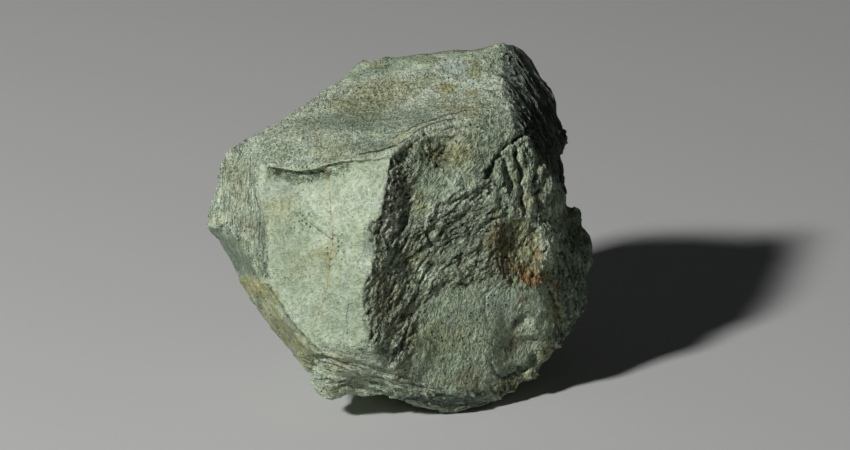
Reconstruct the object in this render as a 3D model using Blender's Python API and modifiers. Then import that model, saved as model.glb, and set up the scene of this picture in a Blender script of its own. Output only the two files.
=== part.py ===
"""A hand-sized flint nodule: one solid stone, broken along a few large flake scars.

The stone is laid out in a drawing frame of millimetres: across runs to the right, up runs up and
out comes forward. The finished stone is leant back by LEAN from that frame, and stands on Z = 0.

A cage of corners is wrapped round the stone's heart, divided finely and worn round between its
sharp ridges. Grain, bedding, clefts and knobs are then raised on it, the mesh is thinned to a
faceted solid, and the small flat spot that it rests on is cut.
"""

import math

import bmesh
import bpy
from mathutils import Matrix, Vector, noise

MM = 0.001
NODE = "flint_nodule"

LEAN = 20.0                          # degrees, from the drawing frame to the standing stone
DRAWING_ORIGIN = (-0.2, -19.0, 54.4)  # mm, where the drawing frame's origin stands in the part
HEART = Vector((2, -2, -16))         # mm, a point inside that every corner can be seen from
TRIANGLES = 9400                     # faces kept in the finished solid
GROUND = 300                         # mm, side of the block that cuts the resting spot

CAGE_DIVISIONS = 4                   # each cage triangle becomes 192 small faces
WEAR_PASSES = 60

# Corners of the cage: (how far wear rounds them off, [(across, up, out), ...]).
CAGE = {
    # ridges where two flake scars meet
    "lip": (0.05, [(-43, 20, 5), (-38.8, 19.3, 7), (-35, 18.6, 9), (-31, 18.1, 11),
                   (-26.4, 18.7, 13.2), (-21.7, 20.3, 15.2), (-17, 21.2, 17),
                   (-9.3, 21.9, 19.6), (-2, 22.8, 21.8)]),
    "crest": (0.05, [(4, 26.5, 14.5), (8, 29.8, 11.5), (12, 31.2, 9), (16, 32.4, 7)]),
    "prow": (0.0, [(-3.2, 20, 23.5), (-4, 13, 24.5), (-5.6, 5, 24.5), (-8.4, 0.5, 24.2),
                   (-6.8, -7, 24.8), (-8.6, -13, 24.6), (-10.8, -18, 23.8), (-10.8, -24, 23.4),
                   (-10, -30, 23), (-8, -35.5, 22)]),
    "left_edge": (0.1, [(-43.5, 13, 5.5), (-41.5, 3, 7.5), (-41, -5, 8.5), (-41, -13, 9),
                        (-39, -19, 10.5), (-36, -26, 12.5), (-32, -31, 14.5), (-27, -36, 17)]),
    "low_ridge": (0.1, [(-55.5, 2.2, -11.5), (-50.5, -3, -5.5), (-46.3, -10, 0.5),
                        (-42.8, -15, 6)]),
    "knees": (0.15, [(31.6, 59.2, -38), (33.4, 47.5, -18), (35.2, 37, -4), (38.3, 30.5, -0.5),
                     (41.2, 25, -2), (44.5, 20, -3.5), (47.6, 15, -5), (50, 8, -7.5),
                     (49.8, 2.5, -9.5)]),
    "step_top": (0.05, [(8.6, 3, 17.6), (11.8, 7.4, 16.8), (16, 9.6, 15.2), (20.5, 11.6, 13.4),
                        (25.5, 13.2, 11.6)]),
    "pale_foot": (0.1, [(-20, -37, 19.5), (-14, -36.5, 21)]),
    "keel": (0.1, [(-10, -46, 13), (-3, -48, 11), (5, -50, 8), (12, -51.5, 5.5), (20, -52, 2),
                   (28, -50, -2.5)]),
    "skyline": (0.15, [(-45.1, 29.9, -15.5), (-37.7, 34.7, -22), (-31.8, 39.4, -28),
                       (-25.8, 44.8, -36), (-19.8, 48.5, -41), (-13.7, 54, -47),
                       (-8.5, 55.2, -47.5), (-0.3, 56.1, -46), (6, 56.9, -45),
                       (15.2, 57.8, -43), (25.5, 58.4, -40)]),
    # the smooth scars
    "pale_scar": (1.0, [(-32, 8, 12.9), (-20, 8, 18.5), (-30, -6, 14.4), (-18, -6, 20.4),
                        (-24, -20, 18.3), (-14, 12, 21.2), (-15, -18, 22.6), (-25, -30, 17.9),
                        (-16, -30, 21.1)]),
    "pale_brow": (0.6, [(-36, 14, 9.8), (-27, 13.6, 14), (-19, 14.6, 18), (-11, 16.6, 21.4)]),
    "top_front": (1.0, [(-32, 30.3, -7), (-20, 31.4, -4), (-8, 32.6, -3), (4, 34.2, -2),
                        (14, 36.8, -4), (-33, 24, 2), (-20, 26, 6), (-8, 27.4, 9)]),
    "top_trough": (1.0, [(-27, 35, -20), (-16, 37, -21), (-4, 38.2, -21), (8, 40, -19),
                         (18, 42, -18)]),
    "top_back": (1.0, [(-18, 42.6, -31), (-6, 46.6, -34), (6, 48.6, -32), (16, 50.4, -30),
                       (25, 51, -25), (22, 40, -8), (28, 45, -15), (27, 37.4, -1)]),
    "breast": (1.0, [(12, -20, 10.2), (20, -20, 7.7), (30, -21, 4), (12, -30, 8.9),
                     (20, -32, 5.6), (28, -30, 2.6), (10, -40, 7.7), (20, -42, 3.7),
                     (28, -40, 0.7), (38, -24, 0)]),
    "low_facet": (0.6, [(-51, -8, -11)]),
    # the worn rind at the left end
    "rind": (0.5, [(-50, 16, -8), (-50, 8, -7.5), (-48.5, 22, -10), (-46, 2, 1),
                   (-44.8, 24, -4)]),
    "left_outline": (0.2, [(-54.6, 25.4, -18), (-57.2, 19.3, -20), (-58.2, 14.2, -20),
                           (-60.7, 8.1, -21), (-61.3, 2, -21), (-60.3, -1, -22),
                           (-57.3, -3.7, -22), (-53.2, -10.3, -20), (-50.5, -15.4, -17),
                           (-45.8, -22.4, -13), (-40.6, -29.4, -9), (-35.4, -34.9, -5),
                           (-30.3, -40.2, 0), (-28.3, -44.2, 3)]),
    # the rough bay to the right of the prow
    "valley": (0.4, [(1.5, 19.5, 18.6), (2.8, 11, 17), (1.8, 4, 17), (0.2, -4, 17.2),
                     (1.5, -12, 15.6), (4.2, -20, 13.6), (4.4, -27, 12.6), (2.8, -34, 13.4),
                     (0, -40, 15)]),
    "shoulder": (0.6, [(8, 22.5, 13), (14, 22, 10), (22, 25, 8.2), (10, 14, 15.2),
                       (16, 14, 14.2), (22, 15.5, 12.2), (27, 20, 9), (28, 33, 3),
                       (22, 34, 4.5)]),
    "step_foot": (0.4, [(11, 0.5, 14), (15, 4, 12.9), (20, 6.5, 11.2), (26, 8.5, 9.3)]),
    "bay": (0.6, [(10, -8, 12.9), (17, -4, 11.2), (24, -3, 9.5), (15, -14, 11.5),
                  (22, -12, 9.5), (27, -10, 8.2)]),
    "fingers": (0.5, [(30, 16, 7.5), (32, 22, 5), (36, 20, 3.6), (40, 17, 1.2), (34, 10, 6.5),
                      (40, 9, 2.6), (45, 9, -2.4), (33, 31, 2)]),
    "pit_rim": (0.3, [(30, 3, 8.2), (36, 5, 5.2), (42, 3, 1.6), (44.4, -4, -0.4),
                      (44.4, -11, -0.6), (42, -17, -0.4), (36, -18.5, 3), (31, -14.5, 6.4),
                      (28.4, -6, 7.8)]),
    "pit": (0.9, [(33.6, -3, 2.6), (37.4, -9, 0), (36.4, 0.5, 2.4), (39, -3.4, 0)]),
    "scoop": (0.6, [(35, -30, -2.6), (38, -37, -5.6), (32, -38, -2.2), (33, -44, -4.2)]),
    "right_rim": (0.3, [(48.2, -4, -6), (48.6, -12, -7.4), (48.2, -20, -7.2),
                        (46.8, -28, -6.2), (43.4, -35, -6.8)]),
    # the dark right side and the lump behind it
    "right_outline": (0.2, [(35.3, 60.2, -42), (39, 58.2, -45), (42.8, 53.8, -44),
                            (45.9, 48, -40), (48.9, 43.3, -37), (51.3, 35, -33),
                            (53.3, 29.3, -29), (51, 26.6, -26), (50.8, 20.4, -23),
                           (51.4, 13.3, -19), (51.9, 9.2, -17.5), (49.6, 21, -32),
                           (48.8, 14, -31), (49.6, 7, -28)]),
    "right_face": (0.5, [(39, 45, -22), (42.4, 35, -14), (46.4, 26, -13)]),
    "lump_outline": (0.35, [(51, 2.2, -26.5), (54.6, 4.2, -29), (57.8, 6.6, -32), (58, 1, -31),
                           (61.2, -3.1, -31), (61.6, -9.2, -30), (59.7, -15.4, -28),
                           (60.2, -21.6, -27), (58.1, -26.6, -25), (55, -30.6, -22),
                           (51.8, -33.5, -18), (48.7, -38.5, -14), (45.1, -41.6, -12),
                           (42.5, -47, -11), (38.4, -47.5, -10)]),
    "lump": (0.4, [(53.4, -8, -16), (53.4, -18, -15), (51.4, -26, -13)]),
    # the layered foot
    "ledges": (0.3, [(-24, -40.5, 16), (-15, -43, 16.5), (-7, -42, 18), (-2, -44, 14.5)]),
    "heel": (0.2, [(-27.2, -48, 4.5), (-25.2, -50.7, 5), (-21, -51.8, 6.5), (-16, -51, 7),
                   (-22, -46.5, 12.5), (-16, -46, 13)]),
    "bottom_outline": (0.2, [(35.4, -50.6, -9), (32.2, -52.6, -7), (27.2, -54.6, -6),
                             (22.1, -56, -4), (18, -57, -3), (13, -56.9, -1.5),
                             (8, -55.7, 0.5), (2, -53.8, 3), (-5, -51.6, 6),
                             (-11.5, -48.8, 7.5)]),
    # the back: four rough scars between a spine and its two branches, and the underside
    "back_ridges": (0.1, [(5, 54, -51), (4, 41, -59.5), (2, 26, -65), (-2, 9, -68),
                          (0, -9, -68.5), (6, -26, -62.5), (10, -37, -54),
                          (-13, 22.6, -60.5), (-29, 18.4, -52), (-44, 14.4, -39),
                          (16, -6, -65), (32, -2.6, -59.5), (45, -3, -52), (53.6, -6, -44)]),
    "back_scars": (0.7, [(-11, 39, -54), (-25, 30, -47.5), (-41, 22, -35), (-18, 5, -58),
                         (-37, 2, -46), (-51, 1, -35), (-20, -15, -55), (-45, -8, -38),
                         (-36, -18, -34), (-24, -30, -41), (-8, -25, -57), (18, -20, -58),
                         (32, -17, -53), (24, -31, -51), (45, -18, -43), (38, -31, -42),
                         (19, 16, -61), (20, 36, -56)]),
    "right_back": (0.4, [(35, 27, -53), (38, 42, -52), (45.6, 28, -45), (45.4, 12, -42),
                         (53.4, 3.4, -38), (50.6, 8.4, -35)]),
    "underside": (0.3, [(-22, -43, -33), (-16, -44.5, -37), (-5, -42.5, -46),
                        (12, -41.5, -49), (27, -41.5, -44), (36, -43, -33), (40, -45, -24),
                        (-27, -42, -20), (-21, -48, -9), (-11, -47, -18), (0, -51, -22),
                        (15, -51.5, -20), (28, -49.5, -22), (6, -48.5, -34)]),
}

# Grain: the direction that its ridges lie along, their length, width and height in millimetres,
# and how strongly each part of the cage shows it.
GRAIN = {
    "diagonal": {"along": (0.5, 0.78, -0.3), "length": 14, "width": 4.6, "height": 1.2,
                 "on": {"valley": 1, "step_foot": 1, "bay": 1, "shoulder": 0.3,
                        "fingers": 0.5, "pit_rim": 0.4, "pit": 0.4, "breast": 0.05}},
    "steep": {"along": (0.22, -0.95, 0.12), "length": 22, "width": 3.6, "height": 1.1,
              "on": {"right_outline": 1, "right_face": 1, "lump_outline": 0.9, "lump": 1,
                     "rind": 0.45, "left_outline": 0.25, "right_rim": 0.4, "right_back": 1}},
    "broken": {"along": (0.8, 0.3, 0.5), "length": 13, "width": 8, "height": 1.8,
               "on": {"back_scars": 0.8, "back_ridges": 0.3, "underside": 0.6}},
}

# Bedding: worn steps in the layered foot.
BEDDING = {"across": (0.36, 0.90, 0.25), "pitch": 3.4, "height": 0.7,
           "on": {"ledges": 1, "heel": 1, "keel": 0.8, "bottom_outline": 0.8,
                  "pale_foot": 0.3}}

# Clefts in the front: (half width, depth, [(across, up), ...]).
CLEFTS = [
    # between the fingers
    (0.9, 1.8, [(26.4, 16.2), (28, 18), (29, 20), (29.5, 22), (31, 23.5), (32.2, 25.2),
                (35.5, 27.8), (39.5, 30.4)]),
    (0.8, 1.5, [(31.2, 23.4), (32.4, 20.6), (33.4, 17.6), (34.4, 14.8), (35.2, 11.6)]),
    (0.8, 1.3, [(35.8, 26), (36.2, 21), (37.8, 17), (37.2, 14.8), (38, 12), (37.6, 9.6),
                (39, 5)]),
    (0.7, 1.1, [(41.6, 20.6), (41.4, 16), (41.2, 13.6)]),
    (0.7, 1.1, [(43.8, 14), (42.6, 11.6), (41.9, 10.8), (43.2, 7.6), (42.4, 5)]),
    # round the scoop
    (0.9, 1.8, [(37, -45.6), (38, -43.6), (40, -42.4), (41.8, -40.4), (42, -37.4)]),
    (0.9, 1.0, [(47, -18), (48.4, -22.5), (50, -27), (49.6, -31), (48, -35)]),
    # the notch at the foot
    (1.3, 1.5, [(-13.5, -45.6), (-12, -49.6)]),
]

# Undercuts in the front: (how far below the line they are deepest, depth, [(across, up), ...]).
# The line is walked with the hollow on its right.
UNDERCUTS = [
    (2.2, 3.0, [(-41, 19.7), (-35, 18.6), (-31, 18.1), (-26.4, 18.7), (-21.7, 20.3),
                (-13, 21.6)]),
    (1.1, 0.8, [(-20, 20.7), (-9.3, 21.9), (-1.6, 22.8), (3, 25.4)]),
    (1.1, 1.7, [(9, -0.5), (9.4, 2.4), (12, 7.2), (16.5, 9.6), (20.6, 11.2), (25.2, 12.6),
                (29, 15.4)]),
    (1.2, 0.6, [(5.6, 26.6), (9.6, 28.8), (13, 29), (17, 31.4)]),
    (1.4, 1.2, [(34.2, -31.6), (34.6, -29.2), (36, -27.4), (38.4, -26.2), (41.4, -26.6)]),
    (1.6, 1.4, [(37.6, -32.4), (41, -32.9), (44, -32)]),
    (1.2, 1.3, [(29.4, -45.4), (31.4, -43.2), (33.6, -42.2), (38.4, -41.2), (41, -38.4)]),
    (1.0, 0.9, [(39, -8.6), (40.6, -10), (42.6, -11.4), (44.8, -14.6)]),
    (1.6, 1.4, [(-29, -37), (-20, -38.6), (-9, -40.4), (-2, -43)]),
    (1.5, 1.3, [(-25, -42.6), (-16, -44), (-8, -45), (0, -47)]),
]

# Knobs in the front: (across, up, reach, height), sunk where the height is negative.
KNOBS = [
    (30.6, 20.4, 1.9, 0.7), (34.4, 21.6, 2.0, 0.7), (38.2, 22.4, 2.0, 0.9),
    (43.8, 19, 2.2, 0.8), (31.2, 15, 2.4, 0.6), (39.6, 14, 2.0, 0.6), (46.4, 15.4, 2.4, 0.6),
    (12.5, 25.4, 4.2, -1.0), (41, -29.6, 4.2, 1.6), (36, -36, 4.4, -1.4), (40, -45, 2.6, 0.7),
    (-21, -48.6, 4.0, 0.8), (4, -37, 7.0, 0.6), (-31, -1, 12.0, -0.6),
]
FRONT = -14.0                        # mm out: clefts, undercuts and knobs stop behind this
FADE = 2.5                           # mm over which a line dies out at its ends


def clear_scene():
    for thing in list(bpy.data.objects):
        bpy.data.objects.remove(thing)


def wrap_cage():
    """Joins the corners as they are seen from the heart, so that every ridge keeps its place."""
    shell = bmesh.new()
    places = [Vector(corner) for _, corners in CAGE.values() for corner in corners]
    corners = [shell.verts.new((place - HEART).normalized()) for place in places]
    bmesh.ops.convex_hull(shell, input=shell.verts)
    for corner, place in zip(corners, places):
        corner.co = place
    bmesh.ops.recalc_face_normals(shell, faces=shell.faces)
    mesh = bpy.data.meshes.new("cage")
    shell.to_mesh(mesh)
    shell.free()
    cage = bpy.data.objects.new("cage", mesh)
    bpy.context.collection.objects.link(cage)
    return cage


def mark(cage, name, strength_of):
    """Writes a vertex group whose weight is set by the part of the cage a corner is in."""
    group = cage.vertex_groups.new(name=name)
    first = 0
    for part, (_, corners) in CAGE.items():
        last = first + len(corners)
        group.add(list(range(first, last)), strength_of(part), "REPLACE")
        first = last
    return group.index


def worn_body(cage):
    """Divides the cage and wears it round, and returns the mesh with its grain weights."""
    mark(cage, "wear", lambda part: CAGE[part][0])
    fine = cage.modifiers.new("fine", "SUBSURF")
    fine.subdivision_type = "SIMPLE"
    fine.levels = fine.render_levels = CAGE_DIVISIONS
    wear = cage.modifiers.new("wear", "SMOOTH")
    wear.factor = 0.5
    wear.iterations = WEAR_PASSES
    wear.vertex_group = "wear"
    settle = cage.modifiers.new("settle", "SMOOTH")
    settle.factor = 0.5
    settle.iterations = 2
    seen = cage.evaluated_get(bpy.context.evaluated_depsgraph_get())
    return bpy.data.meshes.new_from_object(seen, preserve_all_data_layers=True,
                                           depsgraph=bpy.context.evaluated_depsgraph_get())


def drawn_out(place, along, length, width):
    """Ridged noise, 0 to 1, with ridges drawn out along one direction."""
    run = place.dot(along)
    point = along * (run / length) + (place - along * run) / width
    coarse = 1 - 2 * abs(noise.noise(point))
    fine = 1 - 2 * abs(noise.noise(point * 2.1 + Vector((7, 3, 5))))
    return 0.7 * coarse + 0.3 * fine


def stepped(place, across, pitch):
    """Worn steps, 0 to 1: a slow rise and a quick fall in each pitch."""
    level = place.dot(across) / pitch + 0.5 * noise.noise(place / 14)
    part = level - math.floor(level)
    return part * part * (3 - 2 * part) if part < 0.8 else (1 - part) * 4.48


def from_line(spot, line):
    """How far a spot is to the right of a line, and how strong the line is there, 0 to 1."""
    nearest, walked, where = (1e9, 0.0), 0.0, 0.0
    for start, end in zip(line, line[1:]):
        run = end - start
        share = max(0.0, min(1.0, (spot - start).dot(run) / run.length_squared))
        offset = spot - start - run * share
        if offset.length < nearest[0]:
            side = math.copysign(1.0, run.y * offset.x - run.x * offset.y)
            nearest, where = (offset.length, side), walked + run.length * share
        walked += run.length
    return nearest[0] * nearest[1], min(1.0, where / FADE, (walked - where) / FADE)


def relief(place, strengths):
    """How far the surface stands out from the worn body at a place, in mm."""
    height = 0.0
    for name, grain in GRAIN.items():
        if strengths[name] > 0.01:
            ridge = drawn_out(place, Vector(grain["along"]).normalized(), grain["length"],
                              grain["width"])
            height += strengths[name] * grain["height"] * (ridge - 0.6)
    if strengths["bedding"] > 0.01:
        step = stepped(place, Vector(BEDDING["across"]).normalized(), BEDDING["pitch"])
        height += strengths["bedding"] * BEDDING["height"] * (step - 0.5)
    if place.z > FRONT:
        spot = place.to_2d()
        for half_width, depth, line in CLEFTS:
            gap, strength = from_line(spot, [Vector(point) for point in line])
            height -= strength * depth * math.exp(-((gap / half_width) ** 2))
        for deepest, depth, line in UNDERCUTS:
            gap, strength = from_line(spot, [Vector(point) for point in line])
            reach = max(0.0, gap / deepest)
            height -= strength * depth * reach * math.exp(1 - reach)
        for across, up, reach, rise in KNOBS:
            gap = (spot - Vector((across, up))).length / reach
            height += rise * math.exp(-gap * gap)
    return height


def raise_relief(cage, body):
    names = [group.name for group in cage.vertex_groups]
    normals = [vertex.normal.copy() for vertex in body.vertices]
    for vertex, normal in zip(body.vertices, normals):
        strengths = dict.fromkeys(names, 0.0)
        for share in vertex.groups:
            strengths[names[share.group]] = share.weight
        vertex.co += normal * relief(vertex.co.copy(), strengths)


def stand_up(body):
    """Turns the drawing frame's millimetres into the standing part's metres."""
    lean = Matrix.Rotation(math.radians(90 - LEAN), 4, "X")
    body.transform(Matrix.Scale(MM, 4) @ Matrix.Translation(DRAWING_ORIGIN) @ lean)


def thin_out(stone):
    """Leaves the faces that the form needs."""
    count = sum(len(face.vertices) - 2 for face in stone.data.polygons)
    fewer = stone.modifiers.new("fewer", "DECIMATE")
    fewer.ratio = TRIANGLES / count


def cut_resting_spot(stone):
    """Takes off what hangs below Z = 0, which leaves a small flat spot."""
    bpy.ops.mesh.primitive_cube_add(size=GROUND * MM, location=(0, 0, -GROUND * MM / 2))
    ground = bpy.context.object
    cut = stone.modifiers.new("resting_spot", "BOOLEAN")
    cut.operation = "DIFFERENCE"
    cut.solver = "EXACT"
    cut.object = ground
    return ground


def keep_result(stone):
    graph = bpy.context.evaluated_depsgraph_get()
    result = bpy.data.meshes.new_from_object(stone.evaluated_get(graph), depsgraph=graph)
    stone.modifiers.clear()
    stone.data = result


def chalky_flint():
    """Pale grey-green flint under a dull, chalky skin."""
    material = bpy.data.materials.new("chalky_flint")
    material.use_nodes = True
    skin = material.node_tree.nodes["Principled BSDF"]
    skin.inputs["Base Color"].default_value = (0.42, 0.49, 0.36, 1)
    skin.inputs["Roughness"].default_value = 0.75
    skin.inputs["Metallic"].default_value = 0.0
    return material


def build():
    clear_scene()
    cage = wrap_cage()
    for name, grain in GRAIN.items():
        mark(cage, name, lambda part, on=grain["on"]: on.get(part, 0.0))
    mark(cage, "bedding", lambda part: BEDDING["on"].get(part, 0.0))
    body = worn_body(cage)
    raise_relief(cage, body)
    bpy.data.objects.remove(cage)
    stand_up(body)

    stone = bpy.data.objects.new(NODE, body)
    home = bpy.data.collections.new(NODE)
    bpy.context.scene.collection.children.link(home)
    home.objects.link(stone)
    thin_out(stone)
    ground = cut_resting_spot(stone)
    keep_result(stone)
    bpy.data.objects.remove(ground)
    stone.data.materials.clear()
    stone.data.materials.append(chalky_flint())
    stone.data.shade_smooth()
    stone.data.set_sharp_from_angle(angle=math.radians(40))
    return stone


build()
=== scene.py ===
import math

import bpy
import numpy as np
from mathutils import Matrix, Vector


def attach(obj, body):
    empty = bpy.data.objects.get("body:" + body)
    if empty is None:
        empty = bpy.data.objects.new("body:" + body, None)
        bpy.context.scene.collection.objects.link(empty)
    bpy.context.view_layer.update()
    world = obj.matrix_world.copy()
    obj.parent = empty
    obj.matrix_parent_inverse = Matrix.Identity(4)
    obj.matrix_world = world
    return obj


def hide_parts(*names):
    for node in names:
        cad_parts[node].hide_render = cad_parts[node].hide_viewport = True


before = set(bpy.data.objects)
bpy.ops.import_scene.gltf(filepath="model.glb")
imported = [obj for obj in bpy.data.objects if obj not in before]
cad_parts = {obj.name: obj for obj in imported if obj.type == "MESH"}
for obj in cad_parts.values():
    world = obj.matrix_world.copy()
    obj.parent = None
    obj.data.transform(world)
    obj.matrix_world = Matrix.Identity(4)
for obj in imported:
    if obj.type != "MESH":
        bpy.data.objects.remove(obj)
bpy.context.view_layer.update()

# ---------------------------------------------------------------------------------------------
# The view: a camera in front of the stone, looking down on it. Places on the stone are given in
# millimetres across, up and out towards this camera, in a frame that leans back with its view.
# ---------------------------------------------------------------------------------------------
MM = 0.001
LEAN = math.radians(20)
DRAWING_ORIGIN = Vector((-0.2, -19.0, 54.4))   # mm, where the drawing frame sits in the stone
VIEW_DISTANCE = 1464.0                         # mm, from the drawing frame to the camera
VIEW_CENTRE = (7.75, 1.55)                     # mm across and up, the middle of the view
LENS = 200.0                                   # mm
FILM_WIDTH = 36.0                              # mm
FARTHEST_SEEN = 20.0                           # m

lean_back = Matrix.Rotation(math.pi / 2 - LEAN, 4, "X")
standing = Matrix.Scale(MM, 4) @ Matrix.Translation(DRAWING_ORIGIN) @ lean_back

camera = bpy.data.objects.new("camera", bpy.data.cameras.new("camera"))
bpy.context.scene.collection.objects.link(camera)
camera.data.lens = LENS
camera.data.sensor_width = FILM_WIDTH
camera.data.clip_end = FARTHEST_SEEN
camera.matrix_world = Matrix.Translation(standing @ Vector((*VIEW_CENTRE, VIEW_DISTANCE))) @ lean_back
bpy.context.scene.camera = camera

# ---------------------------------------------------------------------------------------------
# The studio: a wide matt floor of pale board, a soft lamp to the left of the camera and a very
# weak even sky, so that faces turned to the right stay dark.
# ---------------------------------------------------------------------------------------------
FLOOR_HALF = 4.0             # m, from the middle of the floor to its sides
BOARD_COLOUR = (0.58, 0.58, 0.57, 1)
BOARD_ROUGHNESS = 0.9
LAMPS = [   # name, direction the light comes from, distance and width in m, power in W
    ("key", (-0.60, 0.40, 0.69), 1.9, 0.2, 34),
    ("back_fill", (0.12, 0.1, -0.95), 1.9, 0.9, 14),
]
LIT_POINT = (0, 0, -15)      # mm in the drawing frame, the point inside the stone that lamps face
SKY_COLOUR = (0.92, 0.96, 1, 1)
SKY_STRENGTH = 0.025

floor_mesh = bpy.data.meshes.new("floor")
floor_mesh.from_pydata([(x * FLOOR_HALF, y * FLOOR_HALF, 0) for x, y in
                        ((-1, -1), (1, -1), (1, 1), (-1, 1))], [], [(0, 1, 2, 3)])
floor = bpy.data.objects.new("floor", floor_mesh)
bpy.context.scene.collection.objects.link(floor)
board = bpy.data.materials.new("pale_board")
board.use_nodes = True
board.node_tree.nodes["Principled BSDF"].inputs["Base Color"].default_value = BOARD_COLOUR
board.node_tree.nodes["Principled BSDF"].inputs["Roughness"].default_value = BOARD_ROUGHNESS
floor_mesh.materials.append(board)

for lamp_name, towards, distance, width, power in LAMPS:
    lamp = bpy.data.objects.new(lamp_name, bpy.data.lights.new(lamp_name, "AREA"))
    bpy.context.scene.collection.objects.link(lamp)
    lamp.data.size = width
    lamp.data.energy = power
    aim = lean_back.to_3x3() @ Vector(towards).normalized()
    lamp.location = standing @ Vector(LIT_POINT) + aim * distance
    lamp.rotation_mode = "QUATERNION"
    lamp.rotation_quaternion = aim.to_track_quat("Z", "Y")

sky = bpy.data.worlds.new("studio")
bpy.context.scene.world = sky
sky.use_nodes = True
sky.node_tree.nodes["Background"].inputs["Color"].default_value = SKY_COLOUR
sky.node_tree.nodes["Background"].inputs["Strength"].default_value = SKY_STRENGTH
bpy.context.scene.view_settings.view_transform = "Standard"

# ---------------------------------------------------------------------------------------------
# The stone: a broken flint nodule, one natural piece. Old flake scars are smooth and dished, the
# bay between them broke roughly along the grain, and a chalky skin has weathered over it all.
# Its surface is the plain solid's, divided finely, with the relief of the break raised on it.
# ---------------------------------------------------------------------------------------------
POINT_SPACING = 0.0004   # m, between points of the divided surface
SKIN_TRIANGLES = 194000
REST_BAND = (0.0002, 0.002)                        # m above the floor, over which relief sets in

# Regions of the front, as outlines in mm across and up.
REGIONS = {
    "pale": [(-42.8, 19.8), (-38.8, 19.2), (-31, 18), (-26.4, 18.6), (-21.7, 20.2), (-9.3, 21.7),
             (-1.6, 22.6), (-2.8, 20.2), (-3.7, 15.5), (-4.3, 9.3), (-5.6, 4.7), (-9.9, 0),
             (-7.4, -6.2), (-8.4, -14), (-10.5, -18.6), (-10.9, -23.3), (-8.7, -33.5), (-14, -36),
             (-26, -36), (-33.2, -30.1), (-36.3, -23.9), (-40, -17.4), (-40.9, -5.6),
             (-41.5, 3.1), (-44.6, 10.9)],
    "top": [(-42.8, 19.8), (-38.8, 19.2), (-31, 18), (-26.4, 18.6), (-21.7, 20.2), (-9.3, 21.7),
            (-1.6, 22.6), (4.7, 27.9), (7.8, 30.1), (12.4, 31.6), (17.1, 32.6), (24.8, 33.2),
            (31, 31), (37.8, 29.5), (35, 37.2), (32.2, 48), (31, 62), (-6, 62), (-40, 44),
            (-56, 32), (-50, 26)],
    "rind": [(-66, 0), (-59.5, 1.6), (-52.7, 0.6), (-48, -7.1), (-44.6, -12.7), (-40.9, -17.4),
             (-40.6, -13.3), (-40.9, -5.6), (-41.5, 3.1), (-44.6, 10.9), (-43.5, 20), (-49, 30),
             (-66, 32)],
    "facet": [(-66, 0), (-59.5, 1.6), (-52.7, 0.6), (-48, -7.1), (-44.6, -12.7), (-41.5, -16.7),
              (-43, -19.5), (-48, -26), (-56, -26)],
    "band": [(-49.5, -14), (-45.9, -14.2), (-41.5, -16.4), (-38.4, -20.8), (-33.9, -27.9),
             (-29.3, -33.5), (-24.2, -37.8), (-30, -48), (-60, -24), (-56, -18)],
    "under_lip": [(-41, 19.4), (-38.8, 19.2), (-31, 18), (-26.4, 18.6), (-21.7, 20.2), (-17, 21),
                  (-16, 18.6), (-21.7, 16.6), (-26, 14.8), (-32, 14.6), (-37, 16.3)],
    "bay": [(-3, 20), (-4, 15), (-5, 4.5), (-9, 0), (-7.5, -8.5), (-10.5, -18.5), (-10.5, -27),
            (-8.5, -33.5), (-4.5, -40), (-0.5, -44), (2.5, -38), (5.5, -28), (10, -21.5),
            (16, -18), (23, -16.8), (28.5, -18.5), (31, -10), (28.5, 1.5), (32.5, 7.5),
            (30.5, 12.5), (21.5, 10.2), (12.5, 6.2), (9.3, 1.5), (7.5, 9.5), (6, 15.5),
            (3.5, 20), (0, 22.5)],
    "shoulder": [(0, 22.5), (3.5, 20), (6, 15.5), (7.5, 9.5), (9.3, 1.5), (12.5, 6.2),
                 (21.5, 10.2), (28.5, 15), (29.5, 21.5), (32.5, 25), (38, 29.5), (31, 31),
                 (24.8, 33.2), (17.1, 32.6), (7.8, 30.1), (1, 24)],
    "cheek": [(31.9, 58), (31.3, 52.7), (31.9, 46.5), (32.5, 41.8), (34.1, 38.8), (35.3, 34.1),
              (36.6, 30.4), (39.7, 29.8), (42.8, 22.3), (46.2, 19.2), (49, 15.5), (50.8, 11.2),
              (58, 10), (58, 30), (52, 45), (45, 60), (32, 66)],
    "fingers": [(27.5, 15.5), (29, 21.5), (32.5, 25), (38, 30), (40.5, 28), (45, 20), (50, 14),
                (51.5, 9), (50, 5), (46, 2.5), (37, 4.5), (32.5, 7.5), (30.5, 12.5)],
    "pit": [(28.5, 2.5), (35.5, 5.3), (43.5, 4.5), (47.5, -1.5), (47.5, -10), (45, -17),
            (37, -18), (31, -10), (28.8, -3)],
    "breast": [(10, -21.5), (16, -18), (23, -16.8), (28.5, -18.5), (37, -18), (46, -17),
               (48, -30), (43, -42), (31, -47), (25, -51), (9, -49), (0, -44), (2.5, -38),
               (5.5, -28)],
    "foot": [(-26, -34), (-14, -34), (-9, -33.5), (-4.5, -40), (-0.5, -44), (0, -46), (9, -49),
             (25, -51), (31, -52), (31, -64), (-36, -64), (-36, -40)],
}

# The sharp edge of the pale scar against the bay, from the top down, in mm across and up.
ARRIS = [(-1.6, 22.6), (-2.8, 20.2), (-3.7, 15.5), (-4.3, 9.3), (-5.6, 4.7), (-9.9, 0), (-7.4, -6.2),
         (-8.4, -14), (-10.5, -18.6), (-10.9, -23.3), (-8.7, -33.5)]

# The foot of the shoulder, where it drops into the bay.
BROW = [(6.2, -2.6), (9.6, 3.2), (12.8, 6.9), (18.6, 10.3), (24.7, 12.3), (31.8, 14.1)]

# Where the break left coarse splinters: the brow, the crack beside the fingers, the upper wall.
SPLINTERED = [BROW, [(26, 14.5), (28, 18), (31, 23), (36, 28), (40, 31)],
              [(0.5, 19), (-1, 13), (-2, 7), (-5, 1)]]

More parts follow.
